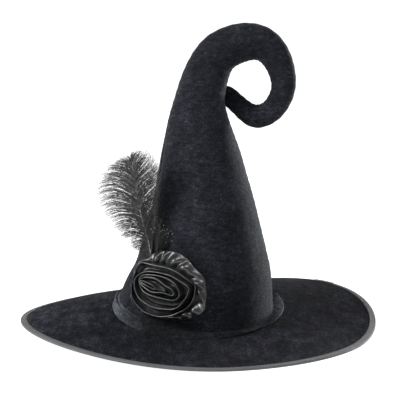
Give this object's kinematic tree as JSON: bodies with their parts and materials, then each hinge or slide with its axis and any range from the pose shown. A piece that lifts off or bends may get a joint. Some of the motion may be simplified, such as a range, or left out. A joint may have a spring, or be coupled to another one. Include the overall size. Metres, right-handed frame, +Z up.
{
  "type": "witch hat",
  "caption": "Black velvet witch hat: wide bound brim, tall crown curling over at the tip, folded satin rosette and an ostrich plume on the front left.",
  "frame": {"origin": "centre of the brim's rim on the surface that the hat rests on", "axes": "+Z up; -Y is the front, where the rosette is; +X is the side that the crown curls over to"},
  "size_m": [0.43, 0.43, 0.3673],
  "materials": {
    "velvet": "short matt pile with a pale sheen at grazing angles",
    "stiffener": "stiff black buckram and thin foam",
    "binding_ribbon": "ribbed ribbon, satin",
    "sweatband_ribbon": "ribbed ribbon, matt",
    "lining_cloth": "smooth woven lining",
    "wadding": "loose polyester wadding",
    "satin": "glossy satin ribbon",
    "felt": "matt felt",
    "thread": "polyester thread",
    "plume": "soft ostrich barbs",
    "quill": "pale brown horn, satin",
    "steel_wire": "drawn wire"
  },
  "bodies": {
    "root": {"brim_top_cover": "velvet", "brim_stiffener": "stiffener", "brim_underside_cover": "velvet", "brim_binding": "binding_ribbon", "brim_binding_lap": "binding_ribbon", "brim_wire": "steel_wire", "crown_flange": "velvet", "sweatband": "sweatband_ribbon", "crown_front_panel": "velvet", "crown_back_panel": "velvet", "crown_front_interfacing": "stiffener", "crown_back_interfacing": "stiffener", "crown_lining": "lining_cloth", "curl_filling": "wadding", "curl_wire": "steel_wire", "tip_tack_stitches": "thread", "rosette_backing": "felt", "rosette_outer_ruffle": "satin", "rosette_middle_turns": "satin", "rosette_bud": "satin", "rosette_tack_threads": "thread", "feather_tack_thread": "thread"},
    "feather": {"feather_quill": "quill", "feather_left_vane": "plume", "feather_right_vane": "plume", "feather_tuft": "plume", "quill_binding": "thread"}
  },
  "joints": [
    {"name": "feather_sway", "type": "hinge", "parent": "root", "child": "feather", "pos_m": [-0.0526, -0.067, 0.0846], "axis": [-0.4342, -0.8521, 0.2924], "range_deg": [-7, 7], "stiffness_Nm_per_rad": 0.06}
  ]
}
